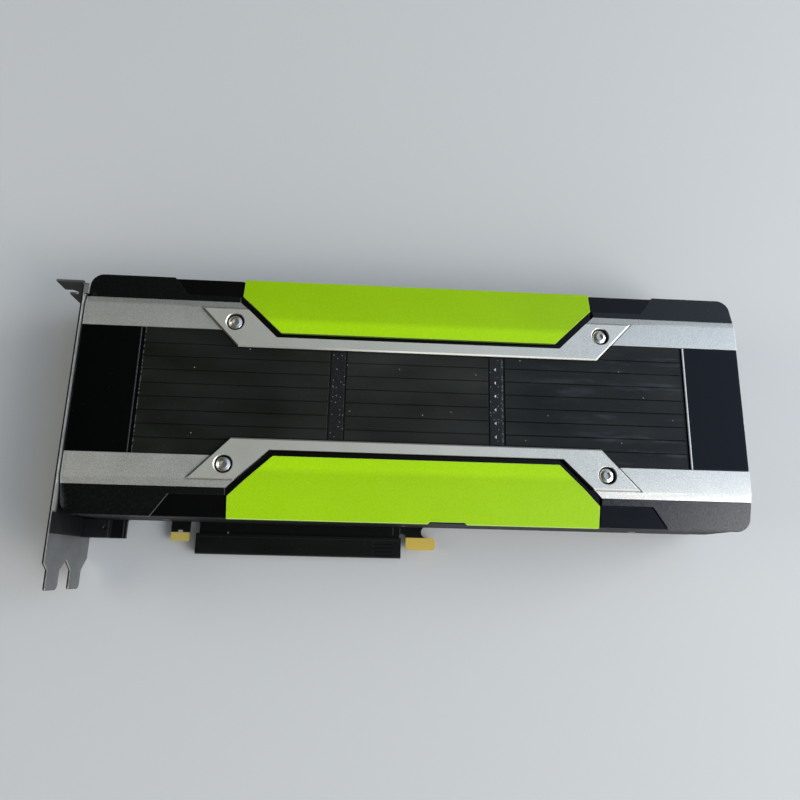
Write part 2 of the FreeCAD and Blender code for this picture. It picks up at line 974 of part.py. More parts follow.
def fin_stack():
    """Comb of thin fins along the duct, open at both ends and closed by a web below."""
    count = int((2 * sink_half_width - fin_thickness) / fin_pitch) + 1
    web = sink_level + fin_web
    top = sink_level + fin_height
    points = [
        (-sink_half_width, web),
        (-sink_half_width, sink_level),
        (sink_half_width, sink_level),
        (sink_half_width, web),
    ]
    for middle in reversed(spread(count, fin_pitch)):
        right = middle + fin_thickness / 2
        left = middle - fin_thickness / 2
        points += [(right, web), (right, top), (left, top), (left, web)]
    return along_x(points, sink_front, sink_front + sink_length)


def sprung_screws():
    """Screws from the rear of the board into the heatsink, over spring washers."""
    screws = []
    seat = board_level - spring_thickness
    for x, y in sprung_screw_places():
        head = upright(x, y, seat - sprung_screw_head_height, seat, sprung_screw_head)
        shank = upright(x, y, seat, base_level + sprung_screw_bite, sprung_screw_shank)
        drive = upright(x, y, seat - 2 * sprung_screw_head_height,
                        seat - sprung_screw_head_height + drive_depth, drive_size)
        screws.append(head.fuse(shank).removeSplitter().cut(drive))
    return group(screws)


def spring_washers():
    """Spring washers under the heads of the sprung screws."""
    washers = []
    bottom = board_level - spring_thickness
    for x, y in sprung_screw_places():
        ring = upright(x, y, bottom, board_level, sprung_screw_head + 2 * spring_thickness)
        bore = upright(x, y, bottom - 1, board_level + 1, sprung_screw_shank + 2 * screw_gap)
        washers.append(ring.cut(bore))
    return group(washers)


# ---------------------------------------------------------------- cover

def deck(y):
    """Height of the cover's finished surface: flat in the middle, sloping at the shoulders."""
    return deck_level - max(0.0, y - crease) * shoulder_slope


def skin(inner, outer, depth_top, depth_bottom, start, end):
    """Strip of the cover's skin between two depths under its finished surface."""
    stops = [inner, outer]
    if inner < crease < outer:
        stops = [inner, crease, outer]
    upper = [(y, deck(y) - depth_top) for y in stops]
    lower = [(y, deck(y) - depth_bottom) for y in reversed(stops)]
    return along_x(upper + lower, start, end)


def wrapped_skin(inner, outer, depth_bottom, wrap, start, end):
    """Skin that turns down over the cover's side wall."""
    stops = [inner, crease] if inner < crease else [inner]
    side = cover_half_width
    upper = [(y, deck(y)) for y in stops]
    outside = [
        (outer, deck(outer), panel_round),
        (outer, deck(outer) - wrap),
        (side, deck(outer) - wrap),
        (side, deck(side) - depth_bottom),
    ]
    lower = [(y, deck(y) - depth_bottom) for y in reversed(stops)]
    return along_x(upper + outside + lower, start, end)


def plan_corners(half_width, radius):
    """Plan of the cover, with rounded corners, drawn out through its whole height."""
    return block(cover_front, cover_tail, -half_width, half_width, -through, through, radius)


def pocket_points(gap, gap_slant, gap_end):
    """Plan of the upper side pocket, or of the panel that lies in it when gaps are given."""
    front = cover_front + pocket_front + gap_end
    tail = cover_tail - pocket_tail - gap_end
    inner = rail_inner + rail_width + gap
    reach_front = gap_slant * math.hypot(1, pocket_lean_front) - gap_end
    reach_tail = gap_slant * math.hypot(1, pocket_lean_tail) - gap_end
    front_corner = strip_outer + reach_front / pocket_lean_front
    tail_corner = strip_outer + reach_tail / pocket_lean_tail
    return [
        (front, front_corner),
        (front + (front_corner - inner) * pocket_lean_front, inner),
        (tail - (tail_corner - inner) * pocket_lean_tail, inner),
        (tail, tail_corner),
        (tail, 2 * panel_edge),
        (front, 2 * panel_edge),
    ]


def rail_pocket():
    """Upper green panel's pocket, which also bounds rail, strip and cap."""
    return plate(pocket_points(0, 0, 0), 0, through)


def green_panel():
    """Upper green panel, which turns down over the side wall."""
    depth = trim_thickness + pocket_sink
    body = wrapped_skin(rail_inner, panel_edge, depth, panel_wrap, cover_front, cover_tail)
    outline_points = pocket_points(panel_gap, panel_gap_slant, panel_gap_end)
    return body.common(plate(outline_points, 0, through))


def panel_notch():
    """Shallow notch with slanted ends in the lower green panel's outer edge."""
    floor = panel_notch_depth - panel_edge
    tail = panel_notch_front + panel_notch_length
    corners = [
        (panel_notch_front - panel_notch_depth, -2 * panel_edge),
        (panel_notch_front - panel_notch_depth, -panel_edge),
        (panel_notch_front, floor),
        (tail, floor),
        (tail + panel_notch_depth, -panel_edge),
        (tail + panel_notch_depth, -2 * panel_edge),
    ]
    return plate(corners, 0, through)


def silver_strip():
    """Upper silver strip, interrupted by the green panel's pocket."""
    body = skin(strip_inner, strip_outer - reveal, 0, trim_thickness, cover_front, cover_tail)
    wells = [upright(x, screw_line, 0, through, screw_well) for x in rail_screw_places()]
    return cut_all(body, [rail_pocket(), rail_moat(deck_level)] + wells)


def rail_screw_places():
    """X places of the rail screws."""
    front = cover_front + rail_tip_front + screw_setback
    tail = cover_tail - rail_tip_tail - screw_setback_tail
    return (front, tail)


def rail_outline():
    """Plan round the upper accent rail, slanted at both ends."""
    return [
        (cover_front + rail_tip_front, crease),
        (cover_front + rail_foot_front, rail_inner),
        (cover_tail - rail_foot_tail, rail_inner),
        (cover_tail - rail_tip_tail, crease),
    ]


def accent_rail():
    """Upper raised rail round the pocket: bevelled outside, with a foot down to the panel."""
    top = deck_level + rail_height
    body = plate(rail_outline(), deck_level, top)
    rim = [edge for edge in body.Edges
           if min(vertex.Z for vertex in edge.Vertexes) > top - rail_bevel / 2]
    body = body.makeChamfer(rail_bevel, rim)
    foot_side = strip_inner - reveal
    foot = plate(rail_outline(), deck_level - panel_drop, deck_level)
    foot = foot.common(block(0, cover_tail, 0, foot_side, 0, through))
    body = join_all(body, [foot])
    wells = []
    for x in rail_screw_places():
        wells.append(upright(x, screw_line, 0, through, screw_well))
        wells.append(Part.makeCone(screw_well / 2, screw_well / 2 + screw_well_bevel, screw_well_bevel,
                                   Vector(x, screw_line, top - screw_well_bevel)))
    return cut_all(body, [rail_pocket()] + wells)


def rail_moat(level):
    """Narrow gap round the upper accent rail, sunk into the trim whose top is at that level."""
    seat = outline(rail_outline(), on_xy)
    band = seat.makeOffset2D(rail_gap, 2).cut(seat)
    band.translate(Vector(0, 0, level - rail_gap_depth))
    return band.extrude(Vector(0, 0, 2 * rail_gap_depth))


def rail_screws():
    """Button head screws, sunk through rail and strip to the cover."""
    screws = []
    for x in rail_screw_places():
        for y in (screw_line, -screw_line):
            screws.append(button_screw(x, y))
    return group(screws)


def button_screw(x, y):
    """Domed head with a six-sided socket, and its shank."""
    radius = rail_screw_head / 2
    crown = rail_screw_crown / 2
    shank = rail_screw_shank / 2
    end = seat_level - rail_screw_length
    top = seat_level + rail_screw_height
    half = [
        (0, end),
        (shank, end),
        (shank, seat_level),
        (radius, seat_level),
        (radius, seat_level + rail_screw_rim),
        (radius - rail_screw_rim / 2, top - rail_screw_rim, rail_screw_rim),
        (crown, top, rail_screw_rim),
        (0, top),
    ]
    form = outline(half, on_xz).revolve(Vector(0, 0, 0), Vector(0, 0, 1), 360)
    reach = rail_screw_socket / math.sqrt(3)
    corners = [(reach * math.cos(turn * math.pi / 3), reach * math.sin(turn * math.pi / 3))
               for turn in range(6)]
    form = form.cut(plate(corners, top - rail_screw_socket_depth, top + 1))
    form.translate(Vector(x, y, 0))
    return form


def cap_section(end):
    """Upper corner cap's plan at one end of the card: cap, slanted edge and narrow ledge."""
    if end == FRONT_END:
        outer = cover_front + cap_reach_front
        start = cover_front
        pocket = cover_front + pocket_front
    else:
        outer = cover_tail - cap_reach_tail
        start = cover_tail
        pocket = cover_tail - pocket_tail
    ledge = strip_outer + ledge_width
    slant = end * cap_slant
    run = (2 * cap_edge - ledge) / (cap_edge - ledge)
    return [
        (start, strip_outer),
        (pocket, strip_outer),
        (pocket, ledge),
        (outer + slant, ledge),
        (outer + slant - slant * run, 2 * cap_edge),
        (start, 2 * cap_edge),
    ]


def corner_cap(end):
    """Upper corner cap at one end, turned down over the side wall."""
    body = wrapped_skin(strip_outer, cap_edge, trim_thickness, cap_wrap, cover_front, cover_tail)
    body = body.common(plate(cap_section(end), 0, through))
    body = body.common(plan_corners(cap_edge, cover_corner + cap_edge - cover_half_width))
    return body.removeSplitter()


def end_plate(start, end):
    """Bare gloss plate across one end of the cover."""
    side = strip_inner - reveal
    return block(start, end, -side, side, seat_level, deck_level)


def panel_span():
    """Where the front end plate ends and the rear one starts."""
    return cover_front + end_plate_length, cover_tail - end_plate_tail_length


def centre_panel():
    """Centre panel with fine grooves along it and two channels across it."""
    start = panel_span()[0] + end_joint
    end = panel_span()[1] - end_joint
    side = strip_inner - reveal
    top = deck_level - panel_drop
    body = block(start, end, -side, side, seat_level, top)
    grooves = []
    for y in spread(groove_count, groove_pitch):
        section = [
            (y - groove_width / 2, top + groove_depth),
            (y - groove_width / 2, top),
            (y, top - groove_depth),
            (y + groove_width / 2, top),
            (y + groove_width / 2, top + groove_depth),
        ]
        grooves.append(along_x(section, start - 1, end + 1))
    channels = [block(x, x + seam_width, -through, through, top - seam_depth, top + 1)
                for x in (cover_front + seam_front, cover_front + seam_rear)]
    sides = [rail_pocket(), rail_moat(top)]
    sides += [mirrored(side_cut) for side_cut in sides]
    return cut_all(body, grooves + channels + sides)


def seam_strip(place):
    """Narrow strip in one of the centre panel's channels, with a gap at each side."""
    side = rail_inner - rail_gap
    bottom = deck_level - panel_drop - seam_depth
    x = cover_front + place
    return block(x + seam_gap, x + seam_width - seam_gap, -side, side, bottom, bottom + seam_thickness)


def cover_outer():
    """Solid form of the cover body under its trim."""
    side = cover_half_width
    points = [
        (-side, rim_level),
        (side, rim_level),
        (side, deck(side) - trim_thickness),
        (crease, seat_level),
        (-crease, seat_level),
        (-side, deck(side) - trim_thickness),
    ]
    body = along_x(points, cover_front, cover_tail)
    return body.common(plan_corners(side, cover_corner))


def cover_cavity():
    """Duct inside the cover, open below and at both ends."""
    side = cover_inner
    wall = cover_wall
    points = [
        (-side, rim_level - 1),
        (side, rim_level - 1),
        (side, deck(side) - trim_thickness - wall),
        (crease, ceiling),
        (-crease, ceiling),
        (-side, deck(side) - trim_thickness - wall),
    ]
    duct = along_x(points, cover_front + wall, cover_tail - wall)
    hollow = duct.common(block(cover_front + wall, cover_tail - wall, -side, side, 0, through,
                               cover_corner - wall))
    mouth = block(cover_front - 1, cover_tail + 1, -duct_half, duct_half, 0, ceiling)
    return hollow.fuse(mouth.common(along_x(points, cover_front - 1, cover_tail + 1)))


def cover_body():
    """Moulded duct: shouldered shell with sunk pockets, screw bosses and side screw holes."""
    body = cover_outer().cut(cover_cavity())
    depth = trim_thickness + pocket_sink
    sunk = skin(rail_inner, 2 * panel_edge, 0, depth, cover_front - 1, cover_tail + 1)
    pocket = sunk.common(rail_pocket())
    body = cut_all(body, [pocket, mirrored(pocket)])
    places = [(x, y) for x in rail_screw_places() for y in (screw_line, -screw_line)]
    bosses = [upright(x, y, ceiling - screw_boss_height, ceiling, screw_boss) for x, y in places]
    body = join_all(body, bosses)
    holes = [upright(x, y, 0, through, rail_screw_shank + 2 * screw_gap) for x, y in places]
    holes += [side_screw(x, side, screw_gap) for x in side_lug_places() for side in (1, -1)]
    return cut_all(body, holes)


# ---------------------------------------------------------------- the whole card

def all_pieces():
    """Every node of the card by name, on the card's own datum."""
    panel_start, panel_end = panel_span()
    pieces = {
        "slot_bracket": slot_bracket(),
        "bracket_screws": bracket_screws(),
        "bracket_anchor": bracket_anchor(),
        "circuit_board": circuit_board(),
        "edge_contacts": edge_contacts(),
        "connector_cap": connector_cap(),
        "backplate": backplate(),
        "backplate_screws": backplate_screws(),
        "gpu_substrate": gpu_substrate(),
        "gpu_die": gpu_die(),
        "memory_chips": memory_chips(),
        "memory_pads": memory_pads(),
        "power_stages": power_stages(),
        "power_stage_pads": power_stage_pads(),
        "inductors": inductors(),
        "ceramic_capacitors": ceramic_capacitors(),
        "input_capacitors": input_capacitors(),
        "power_connector": power_connector(),
        "power_pins": power_pins(),
        "base_plate": base_plate(),
        "heatsink_base": heatsink_base(),
        "fin_stack": fin_stack(),
        "sprung_screws": sprung_screws(),
        "spring_washers": spring_washers(),
        "cover_body": cover_body(),
        "side_screws": side_screws(),
        "rail_screws": rail_screws(),
        "centre_panel": centre_panel(),
        "seam_strip_front": seam_strip(seam_front),
        "seam_strip_rear": seam_strip(seam_rear),
        "end_plate_front": end_plate(cover_front, panel_start),
        "end_plate_rear": end_plate(panel_end, cover_tail),
    }
    sided = {
        "silver_strip": silver_strip(),
        "accent_rail": accent_rail(),
        "green_panel": green_panel(),
        "corner_cap_front": corner_cap(FRONT_END),
        "corner_cap_rear": corner_cap(TAIL_END),
    }
    for name, shape in sided.items():
        pieces[name + "_upper"] = shape
        pieces[name + "_lower"] = mirrored(shape)
    pieces["green_panel_lower"] = pieces["green_panel_lower"].cut(panel_notch())
    return pieces


def finish_part():
    """Move the card so that its origin is under the middle of its box, and write each node."""
    os.makedirs("parts", exist_ok=True)
    middle_x = (cover_tail - flange_depth) / 2
    middle_y = (board_top_edge + flange_level - bracket_length) / 2
    for name, shape in all_pieces().items():
        shape.translate(Vector(-middle_x, -middle_y, 0))
        shape.exportStep("parts/" + name + ".step")


finish_part()
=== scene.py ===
"""Looks of a passive accelerator card: finishes, broken edges, small trim, light and camera.

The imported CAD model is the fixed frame. Its nodes keep their shape, and those that show a
crisp edge get a copy with that edge broken. Lengths are in metres, in the frame of the card:
x runs from the bracket to the tail, y up the board from its contacts, z out of the cover.
"""

import math
from collections import namedtuple

import bmesh
import bpy
from mathutils import Euler, Matrix, Vector

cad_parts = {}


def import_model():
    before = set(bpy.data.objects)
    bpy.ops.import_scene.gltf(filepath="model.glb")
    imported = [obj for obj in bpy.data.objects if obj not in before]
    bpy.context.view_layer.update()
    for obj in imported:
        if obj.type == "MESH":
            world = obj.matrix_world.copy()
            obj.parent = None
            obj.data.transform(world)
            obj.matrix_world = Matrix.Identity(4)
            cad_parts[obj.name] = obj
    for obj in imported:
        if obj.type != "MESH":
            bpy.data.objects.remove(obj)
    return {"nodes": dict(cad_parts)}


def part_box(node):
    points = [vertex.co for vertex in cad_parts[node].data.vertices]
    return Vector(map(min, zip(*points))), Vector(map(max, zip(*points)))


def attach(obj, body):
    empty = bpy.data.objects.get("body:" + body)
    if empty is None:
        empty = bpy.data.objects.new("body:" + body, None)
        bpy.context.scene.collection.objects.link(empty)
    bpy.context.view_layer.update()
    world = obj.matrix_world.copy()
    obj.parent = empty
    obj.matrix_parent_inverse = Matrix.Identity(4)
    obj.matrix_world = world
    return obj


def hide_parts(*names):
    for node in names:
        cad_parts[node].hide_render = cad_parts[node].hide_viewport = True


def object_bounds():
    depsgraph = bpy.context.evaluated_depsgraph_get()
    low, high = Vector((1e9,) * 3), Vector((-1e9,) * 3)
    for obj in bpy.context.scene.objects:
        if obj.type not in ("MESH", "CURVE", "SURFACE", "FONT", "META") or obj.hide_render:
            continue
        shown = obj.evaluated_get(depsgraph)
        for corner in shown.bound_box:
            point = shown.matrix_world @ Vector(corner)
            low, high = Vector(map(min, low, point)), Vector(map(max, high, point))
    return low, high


MM = 0.001
BODY = "root"

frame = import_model()
cad_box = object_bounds()


# ---------------------------------------------------------------- node helpers

class Nodes:
    """Adds nodes to one tree and joins them up."""

    def __init__(self, tree):
        self.tree = tree

    def add(self, kind, **settings):
        """A new node with its settings."""
        node = self.tree.nodes.new(kind)
        for setting, value in settings.items():
            setattr(node, setting, value)
        return node

    def feed(self, socket, value):
        """Set a socket to a constant, or link another node's output to it."""
        if isinstance(value, bpy.types.NodeSocket):
            self.tree.links.new(value, socket)
        else:
            socket.default_value = value

    def part(self, vector, name):
        """One coordinate of a vector."""
        split = self.add("ShaderNodeSeparateXYZ")
        self.feed(split.inputs["Vector"], vector)
        return split.outputs[name]

    def remap(self, value, start, end, new_start=0.0, new_end=1.0):
        """Carry start and end to new values, evenly between them and level beyond them."""
        node = self.add("ShaderNodeMapRange")
        self.feed(node.inputs["Value"], value)
        self.feed(node.inputs["From Min"], start)
        self.feed(node.inputs["From Max"], end)
        self.feed(node.inputs["To Min"], new_start)
        self.feed(node.inputs["To Max"], new_end)
        return node.outputs["Result"]

    def calculate(self, operation, first, second):
        """Result of a sum on two patterns or numbers."""
        node = self.add("ShaderNodeMath", operation=operation)
        self.feed(node.inputs[0], first)
        self.feed(node.inputs[1], second)
        return node.outputs["Value"]

    def both(self, first, second):
        """Where two masks overlap. A number as the second thins the first."""
        return self.calculate("MULTIPLY", first, second)

    def either(self, first, second):
        """Where one mask or the other is."""
        return self.calculate("MAXIMUM", first, second)

    def band(self, value, start, end, soft):
        """1 between two values and 0 outside them, with soft ends."""
        rise = self.remap(value, start - soft, start + soft)
        fall = self.remap(value, end + soft, end - soft)
        return self.both(rise, fall)


# Range in which nearly all of a noise lies. Shade and wear run across it.
NOISE_LOW = 0.3
NOISE_HIGH = 0.7

# Facing up far enough for a speck of dust to lie: none at the first value, all at the second.
DUST_LIES = (0.5, 0.8)


class Finish(Nodes):
    """Material for one finish. Its patterns lie in Object coordinates."""

    def __init__(self, name, colour, roughness, metallic=0.0, specular=0.5):
        self.material = bpy.data.materials.new(name)
        self.material.use_nodes = True
        self.material.diffuse_color = (*colour, 1)
        super().__init__(self.material.node_tree)
        self.sockets = self.tree.nodes["Principled BSDF"].inputs
        self.sockets["Base Color"].default_value = (*colour, 1)
        self.sockets["Roughness"].default_value = roughness
        self.sockets["Metallic"].default_value = metallic
        self.sockets["Specular IOR Level"].default_value = specular

    def place(self):
        """Object coordinates."""
        return self.add("ShaderNodeTexCoord").outputs["Object"]

    def axis(self, name):
        """One of the Object coordinates."""
        return self.part(self.place(), name)

    def facing(self, name):
        """One coordinate of the surface normal, in the frame of the card."""
        return self.part(self.add("ShaderNodeNewGeometry").outputs["Normal"], name)

    def laid_out(self, stretch=(1, 1, 1), turn=(0, 0, 0)):
        """Object coordinates, stretched or turned for a pattern."""
        mapping = self.add("ShaderNodeMapping")
        self.feed(mapping.inputs["Vector"], self.place())
        self.feed(mapping.inputs["Scale"], stretch)
        self.feed(mapping.inputs["Rotation"], turn)
        return mapping.outputs["Vector"]

    def noise(self, size, detail=3.0, stretch=(1, 1, 1), turn=(0, 0, 0)):
        """Cloudy pattern whose patches are about that size."""
        node = self.add("ShaderNodeTexNoise")
        self.feed(node.inputs["Vector"], self.laid_out(stretch, turn))
        self.feed(node.inputs["Scale"], 1 / size)
        self.feed(node.inputs["Detail"], detail)
        return node.outputs["Fac"]

    def cells(self, size, stretch=(1, 1, 1)):
        """Distance from scattered points, one to each cell of that size."""
        node = self.add("ShaderNodeTexVoronoi")
        self.feed(node.inputs["Vector"], self.laid_out(stretch))
        self.feed(node.inputs["Scale"], 1 / size)
        return node.outputs["Distance"]

    def patch(self, x, y, length, width, soft):
        """Mask over a rectangle round a place in the plan, with soft edges."""
        along = self.band(self.axis("X"), x - length / 2, x + length / 2, soft)
        across = self.band(self.axis("Y"), y - width / 2, y + width / 2, soft)
        return self.both(along, across)

    def coat(self, blend, factor, layer):
        """Blend a layer over what is painted so far."""
        node = self.add("ShaderNodeMix", data_type="RGBA", blend_type=blend)
        base = self.sockets["Base Color"]
        so_far = base.links[0].from_socket if base.is_linked else base.default_value
        self.feed(node.inputs["A"], so_far)
        self.feed(node.inputs["B"], layer)
        self.feed(node.inputs["Factor"], factor)
        self.feed(base, node.outputs["Result"])

    def paint(self, mask, colour, strength=1.0):
        """Another colour over a mask, as strong as a number or a second mask says."""
        self.coat("MIX", self.both(mask, strength), (*colour, 1))

    def shade(self, pattern, at_low, at_high):
        """Multiply the colour, by one number where a pattern is low and another where high."""
        self.coat("MULTIPLY", 1, self.remap(pattern, NOISE_LOW, NOISE_HIGH, at_low, at_high))

    def wear(self, pattern, smooth, rough):
        """Roughness that wanders between two values."""
        self.feed(self.sockets["Roughness"],
                  self.remap(pattern, NOISE_LOW, NOISE_HIGH, smooth, rough))

    def emboss(self, pattern, depth):
        """Raise the surface by a pattern, over what is raised so far."""
        node = self.add("ShaderNodeBump")
        self.feed(node.inputs["Height"], pattern)
        self.feed(node.inputs["Distance"], depth)
        self.feed(node.inputs["Strength"], 1)
        normal = self.sockets["Normal"]
        if normal.is_linked:
            self.feed(node.inputs["Normal"], normal.links[0].from_socket)
        self.feed(normal, node.outputs["Normal"])

    def dust(self, cell, radius, share, colour):
        """Specks on what faces up: a share of the cells holds one, its radius in cell sizes."""
        scatter = self.add("ShaderNodeTexVoronoi", voronoi_dimensions="2D")
        self.feed(scatter.inputs["Vector"], self.laid_out())
        self.feed(scatter.inputs["Scale"], 1 / cell)
        speck = self.remap(scatter.outputs["Distance"], radius, 0.5 * radius)
        lot = self.add("ShaderNodeSeparateColor")
        self.feed(lot.inputs["Color"], scatter.outputs["Color"])
        drawn = self.remap(lot.outputs["Red"], 1 - share, 1.001 - share)
        lying = self.remap(self.facing("Z"), *DUST_LIES)
        self.paint(speck, colour, self.both(drawn, lying))


# ---------------------------------------------------------------- finishes of the cover

def painted_slope_shade(paint, lean, upper, lower):
    """Paint shade on the cover's upper and lower slopes by multiplying their colour.

    A face counts as a slope from the first lean towards y on, and in full at the second.
    """
    start, full = lean
    paint.shade(paint.remap(paint.facing("Y"), start, full), 1.0, upper)
    paint.shade(paint.remap(paint.facing("Y"), -start, -full), 1.0, lower)


def lime_paint():
    """Bright green satin paint: painted shade on its slopes, a painted highlight along its
    edges, painted shade where it wraps over the side.
    """
    paint = Finish("lime_paint", (0.376, 0.656, 0.0016), roughness=0.42, specular=0.224)
    paint.shade(paint.noise(0.6 * MM, detail=2), 0.93, 1.05)
    paint.shade(paint.noise(40 * MM, detail=2), 0.97, 1.03)
    # Painted shade on the cover's slopes.
    painted_slope_shade(paint, lean=(0.04, 0.16), upper=0.80, lower=0.84)
    paint.wear(paint.noise(6 * MM), 0.38, 0.48)
    paint.emboss(paint.noise(0.35 * MM, detail=2), depth=0.012 * MM)
    paint.dust(6 * MM, radius=0.035, share=0.12, colour=(0.44, 0.576, 0.24))
    # Painted highlight along the edges.
    edge = paint.band(paint.facing("Z"), 0.45, 0.90, soft=0.03)
    paint.paint(edge, (0.576, 0.688, 0.32), strength=0.45)
    # Painted shade on the walls where the paint wraps over the side.
    wrap_shade = paint.remap(paint.facing("Z"), 0.4, 0.2)
    paint.paint(wrap_shade, (0.128, 0.176, 0.048), strength=0.7)
    return paint.material


def silver_paint():
    """Silver paint with fine flake and painted shade on its slopes: the rails have their own
    warmer, lighter tone, with painted warm light towards the front, and painted shade along
    their bevels.
    """
    paint = Finish("silver_paint", (0.676, 0.66, 0.6), roughness=0.42, metallic=0.8)
    paint.shade(paint.cells(0.34 * MM), 0.78, 1.14)
    # Painted shade on the cover's slopes.
    painted_slope_shade(paint, lean=(0.06, 0.2), upper=0.80, lower=0.86)
    strip_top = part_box("silver_strip_upper")[1].z
    rail = paint.remap(paint.axis("Z"), strip_top + 0.1 * MM, strip_top + 0.3 * MM)
    # The rails' own lighter, warmer tone, with painted warm light that grows towards the front.
    warm_tone_and_light = paint.remap(paint.axis("X"), 75 * MM, 35 * MM, 0.2, 0.8)
    paint.paint(rail, (0.8, 0.772, 0.664), strength=warm_tone_and_light)
    paint.wear(paint.noise(9 * MM, detail=2), 0.40, 0.44)
    paint.emboss(paint.noise(0.30 * MM, detail=2), depth=0.014 * MM)
    # Painted shade along the rails' bevels where they turn from the light: most on bevels
    # facing the front, less on those facing up the card, and on those facing down only towards
    # the front.
    bevel_shade = (0.056, 0.056, 0.0528)
    shaded_front_bevel = paint.remap(paint.facing("X"), -0.28, -0.42)
    paint.paint(shaded_front_bevel, bevel_shade, strength=0.92)
    shaded_upper_bevel = paint.remap(paint.facing("Y"), 0.42, 0.60)
    paint.paint(shaded_upper_bevel, bevel_shade, strength=0.25)
    shaded_lower_bevel = paint.remap(paint.facing("Y"), -0.42, -0.60)
    shade_towards_front = paint.remap(paint.axis("X"), 0, -40 * MM, 0, 0.62)
    paint.paint(shaded_lower_bevel, (0.096, 0.084, 0.068), strength=shade_towards_front)
    return paint.material


def cover_black():
    """Black housing: glossy above, dull down its side walls, with painted highlight lines
    beside its end plates.
    """
    shell = Finish("cover_black", (0.00048, 0.00064, 0.00072), roughness=0.10, specular=0.272)
    gloss = shell.remap(shell.noise(18 * MM, detail=4, stretch=(1, 2.5, 1)),
                        NOISE_LOW, NOISE_HIGH, 0.06, 0.14)
    dull_wall = shell.both(shell.remap(shell.facing("Z"), 0.6, 0.4), 0.5)
    shell.feed(shell.sockets["Roughness"], shell.calculate("ADD", gloss, dull_wall))
    shell.dust(4.2 * MM, radius=0.035, share=0.12, colour=(0.016, 0.0176, 0.0192))
    shell.dust(1.6 * MM, radius=0.05, share=0.20, colour=(0.0096, 0.0112, 0.0128))
    plate_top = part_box("end_plate_rear")[1].z
    front_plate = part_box("end_plate_front")[1].x
    rear_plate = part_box("end_plate_rear")[0].x
    above = shell.remap(shell.axis("Z"), plate_top - 0.6 * MM, plate_top - 0.4 * MM)
    # Painted highlight lines along the end plates: a dim one at the front plate, a bright one
    # at the rear plate.
    for start, end, colour, strength in (
            (front_plate - 0.34 * MM, front_plate + 0.2 * MM, (0.036, 0.036, 0.0344), 0.5),
            (rear_plate - 0.2 * MM, rear_plate + 0.48 * MM, (0.76, 0.776, 0.8), 1)):
        beside = shell.band(shell.axis("X"), start, end, soft=0.06 * MM)
        shell.paint(shell.both(beside, above), colour, strength)
    return shell.material


def panel_black():
    """Satin black ribbed panel: painted light over its middle, handled towards the tail, dusty.
    """
    low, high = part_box("centre_panel")
    middle = (low.x + high.x) / 2
    panel = Finish("panel_black", (0.0072, 0.00776, 0.00608), roughness=0.34, specular=0.288)
    panel.shade(panel.noise(26 * MM, detail=4, stretch=(0.6, 1.4, 1)), 0.75, 1.5)
    # Painted light: a soft pool of light over the middle of the panel.
    bright = panel.band(panel.axis("X"), middle - 45 * MM, middle + 35 * MM, soft=30 * MM)
    panel.shade(bright, 0.9, 1.7)
    panel.wear(panel.noise(14 * MM, detail=5, stretch=(0.7, 1.6, 1)), 0.26, 0.46)
    panel.emboss(panel.noise(0.3 * MM, detail=2), depth=0.006 * MM)
    panel.emboss(panel.noise(1.6 * MM, detail=2, stretch=(0.02, 1, 1)), depth=0.010 * MM)
    panel.dust(3 * MM, radius=0.05, share=0.22, colour=(0.056, 0.06, 0.06))
    panel.dust(10 * MM, radius=0.022, share=0.22, colour=(0.4, 0.408, 0.4))
    # A light dashed line along the panel's front rim.
    rim = panel.band(panel.axis("X"), low.x - 1 * MM, low.x + 0.35 * MM, soft=0.08 * MM)
    light_dashes = panel.remap(panel.noise(1.2 * MM), 0.46, 0.58)
    panel.paint(rim, (0.104, 0.104, 0.096), strength=light_dashes)
    scuff = panel.remap(panel.noise(5 * MM, detail=6, stretch=(0.25, 1.6, 1), turn=(0, 0, 0.5)),
                        0.57, 0.74)
    handled = panel.remap(panel.axis("X"), high.x - 72 * MM, high.x - 30 * MM)
    panel.paint(panel.both(scuff, handled), (0.036, 0.0432, 0.0512), strength=0.75)
    return panel.material


def seam_black():
    """Dull cross strip between the panel's fields, where dust gathers, with painted highlights
    on its pips.
    """
    low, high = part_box("seam_strip_rear")
    seam = Finish("seam_black", (0.00288, 0.00288, 0.00248), roughness=0.45, specular=0.4)
    seam.shade(seam.noise(2 * MM), 0.7, 1.5)
    seam.emboss(seam.noise(0.5 * MM, detail=2), depth=0.02 * MM)
    seam.dust(1.5 * MM, radius=0.11, share=0.30, colour=(0.4, 0.408, 0.392))
    seam.dust(0.8 * MM, radius=0.18, share=0.30, colour=(0.04, 0.0416, 0.04))
    rim = seam.band(seam.axis("X"), high.x - 0.55 * MM, high.x - 0.1 * MM, soft=0.08 * MM)
    light_dashes = seam.remap(seam.noise(0.9 * MM, detail=4), 0.50, 0.62)
    seam.paint(rim, (0.176, 0.184, 0.176), strength=light_dashes)
    # Painted highlight on the pips' tops.
    pip_highlight = seam.remap(seam.axis("Z"), high.z + 0.04 * MM, high.z + 0.12 * MM)
    seam.paint(pip_highlight, (0.592, 0.6, 0.592))
    return seam.material


def cap_grain():
    """Dark moulded corner caps with a spark-eroded grain, and painted light where they face the
    tail.
    """
    cap = Finish("cap_grain", (0.00048, 0.00072, 0.00096), roughness=0.34, specular=0.496)
    cap.shade(cap.noise(0.5 * MM, detail=2), 0.7, 1.4)
    cap.wear(cap.noise(1.1 * MM, detail=2), 0.20, 0.30)
    cap.emboss(cap.noise(0.42 * MM, detail=2), depth=0.036 * MM)
    # Painted light on the faces that turn towards the tail.
    lit_towards_tail = cap.remap(cap.facing("X"), 0.30, 0.60)
    cap.paint(lit_towards_tail, (0.104, 0.112, 0.112), strength=0.5)
    cap.dust(5 * MM, radius=0.03, share=0.10, colour=(0.024, 0.0256, 0.0256))
    return cap.material


# ---------------------------------------------------------------- finishes of the bracket

